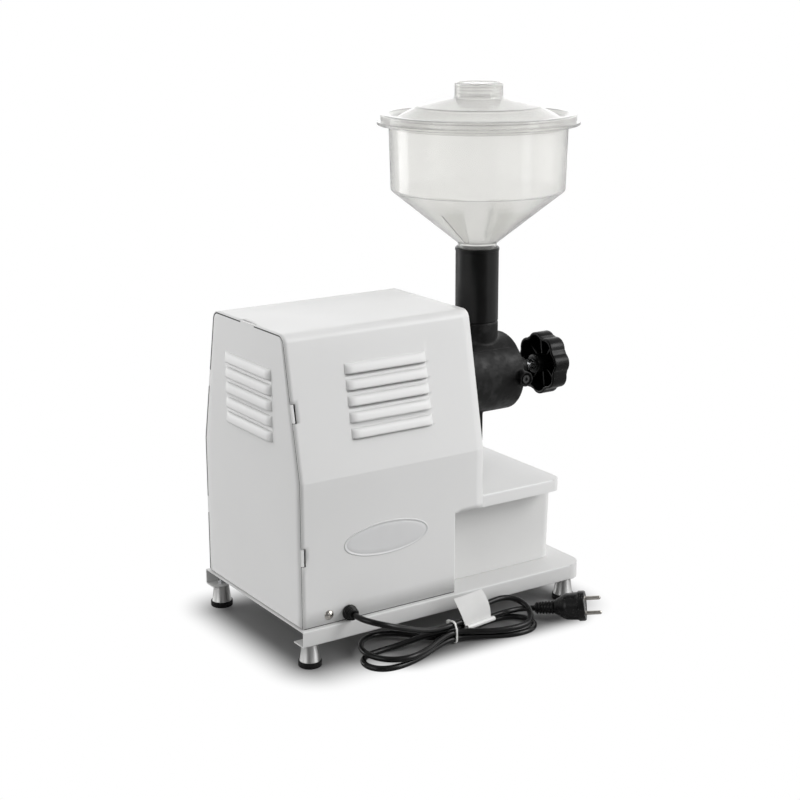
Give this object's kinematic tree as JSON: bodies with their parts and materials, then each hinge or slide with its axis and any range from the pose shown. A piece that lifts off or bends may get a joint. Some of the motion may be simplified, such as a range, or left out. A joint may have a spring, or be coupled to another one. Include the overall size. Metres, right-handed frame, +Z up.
{
  "type": "electric coffee grinder",
  "caption": "Electric disc coffee grinder: folded sheet cover on a footed tray, cast mill with lobed adjusting knob, translucent hopper above and pull-out collecting box below.",
  "frame": {"origin": "middle of the machine's box, on the floor under its feet", "axes": "+X towards the adjusting knob, +Y away from the side with the cord, +Z up"},
  "size_m": [0.4442, 0.3168, 0.6308],
  "materials": {
    "white_paint": "smooth gloss",
    "turned_aluminium": "turned",
    "black_rubber": "matt",
    "zinc_steel": "zinc plated",
    "bright_nickel": "nickel plated",
    "badge_silver": "satin",
    "cast_aluminium": "as cast",
    "core_steel": "laminated",
    "winding_copper": "lacquered wire",
    "bearing_steel": "ground",
    "ivory_plastic": "matt",
    "black_plastic": "satin",
    "switch_plastic": "gloss",
    "black_iron": "painted black, cast texture",
    "black_steel": "blackened",
    "black_tube": "satin black",
    "bright_steel": "ground",
    "burr_iron": "hardened",
    "knob_plastic": "gloss",
    "milky_plastic": "translucent, smooth",
    "box_plastic": "smooth",
    "cord_black": "satin",
    "white_nylon": "translucent nylon",
    "white_tag": "coated paper",
    "cord_black_plug": "satin"
  },
  "bodies": {
    "frame": {"base_tray": "white_paint", "foot_cones": "turned_aluminium", "foot_pads": "black_rubber", "foot_bolts": "zinc_steel", "cover_shell": "white_paint", "rear_panel": "white_paint", "front_panel": "white_paint", "bay_wall": "white_paint", "shelf": "white_paint", "cover_brackets": "zinc_steel", "cover_screws": "bright_nickel", "badge_plate": "badge_silver", "motor_stand": "zinc_steel", "stand_bolts": "zinc_steel", "motor_saddle": "cast_aluminium", "saddle_bolts": "zinc_steel", "stator_core": "core_steel", "winding_heads": "winding_copper", "front_bell": "cast_aluminium", "rear_bell": "cast_aluminium", "front_bearing": "bearing_steel", "rear_bearing": "bearing_steel", "run_capacitor": "cast_aluminium", "capacitor_clip": "zinc_steel", "terminal_block": "ivory_plastic", "switch_body": "black_plastic", "mill_body": "black_iron", "mill_bolts": "zinc_steel", "mill_cover": "black_iron", "mill_cover_bolts": "black_steel", "lock_screw": "black_steel", "dust_seal": "black_rubber", "feed_tube": "black_tube", "cord_gland": "black_plastic", "gland_nut": "black_plastic", "cord_lead": "cord_black", "cord_hank": "cord_black", "cord_tail": "cord_black", "cable_tie": "white_nylon", "cord_tag": "white_tag", "plug_body": "cord_black_plug", "plug_pins": "bright_nickel"},
    "rotor": {"motor_shaft": "bright_steel", "rotor_core": "core_steel", "cooling_fan": "black_plastic", "rotating_burr": "burr_iron", "feed_auger": "burr_iron"},
    "carrier": {"burr_carrier": "bright_steel", "fixed_burr": "burr_iron", "burr_screws": "zinc_steel"},
    "adjuster": {"adjuster_spindle": "bright_steel", "spindle_clip": "bright_steel", "adjusting_knob": "knob_plastic"},
    "hopper_bowl": {"hopper": "milky_plastic"},
    "lid": {"hopper_lid": "milky_plastic"},
    "drawer": {"collecting_box": "box_plastic"},
    "rocker": {"switch_rocker": "switch_plastic"}
  },
  "joints": [
    {"name": "motor_spin", "type": "hinge", "parent": "frame", "child": "rotor", "pos_m": [0, 0, 0.275], "axis": [1, 0, 0], "continuous": true},
    {"name": "burr_slide", "type": "slide", "parent": "frame", "child": "carrier", "axis": [1, 0, 0], "range_m": [-0.00131, 0.00131]},
    {"name": "knob_turn", "type": "hinge", "parent": "carrier", "child": "adjuster", "pos_m": [0.21935, 0, 0.275], "axis": [1, 0, 0], "range_deg": [-270, 270]},
    {"name": "hopper_lift", "type": "slide", "parent": "frame", "child": "hopper_bowl", "axis": [0, 0, 1], "range_m": [0, 0.08]},
    {"name": "lid_lift", "type": "slide", "parent": "hopper_bowl", "child": "lid", "axis": [0, 0, 1], "range_m": [0, 0.12]},
    {"name": "box_pull", "type": "slide", "parent": "frame", "child": "drawer", "axis": [1, 0, 0], "range_m": [0, 0.17]},
    {"name": "switch_rock", "type": "hinge", "parent": "frame", "child": "rocker", "pos_m": [-0.06765, 0.1125, 0.135], "axis": [1, 0, 0], "range_deg": [0, 16]}
  ],
  "couplings": [
    {"joint": "knob_turn", "follows": "burr_slide", "rad_per_m": 3590.4}
  ]
}
